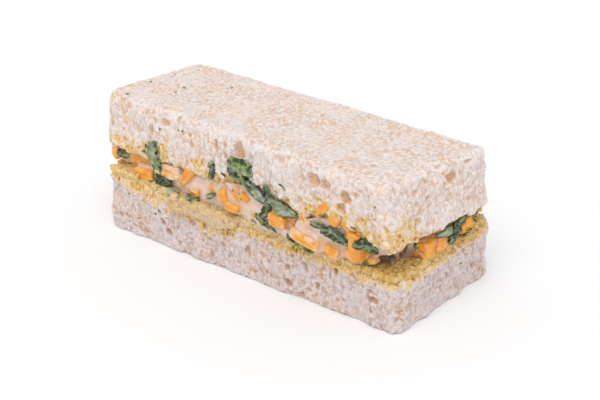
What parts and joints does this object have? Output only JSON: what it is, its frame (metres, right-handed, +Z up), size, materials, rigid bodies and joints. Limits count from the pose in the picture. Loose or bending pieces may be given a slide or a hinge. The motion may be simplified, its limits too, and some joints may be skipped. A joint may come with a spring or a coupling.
{
  "type": "cheese and pesto finger sandwich",
  "caption": "Crustless white bread finger sandwich with grated cheese, leaves and pesto showing between its two slices.",
  "frame": {"origin": "middle of the sandwich's outline on the surface that it lies on", "axes": "+X along the long side towards the near end, -Y out of the front side with the torn crumb, +Z up"},
  "size_m": [0.1021, 0.0421, 0.0377],
  "materials": {
    "crumb": "matt open bread crumb",
    "pesto": "grainy oily paste",
    "filling": "moist mayonnaise over orange cheese",
    "leaf": "dark wet leaf"
  },
  "bodies": {
    "root": {"bread_bottom": "crumb", "bread_top": "crumb", "pesto_bottom": "pesto", "pesto_top": "pesto", "filling": "filling", "leaf_01": "leaf", "leaf_02": "leaf", "leaf_03": "leaf", "leaf_04": "leaf", "leaf_05": "leaf", "leaf_06": "leaf", "leaf_07": "leaf", "leaf_08": "leaf", "leaf_09": "leaf", "leaf_10": "leaf", "leaf_11": "leaf", "leaf_12": "leaf", "leaf_13": "leaf", "leaf_14": "leaf", "leaf_15": "leaf", "leaf_16": "leaf", "leaf_17": "leaf", "leaf_18": "leaf", "leaf_19": "leaf", "leaf_20": "leaf", "leaf_21": "leaf", "leaf_22": "leaf", "leaf_23": "leaf", "leaf_24": "leaf", "leaf_25": "leaf", "leaf_26": "leaf", "leaf_27": "leaf", "leaf_28": "leaf", "leaf_29": "leaf"}
  },
  "joints": []
}
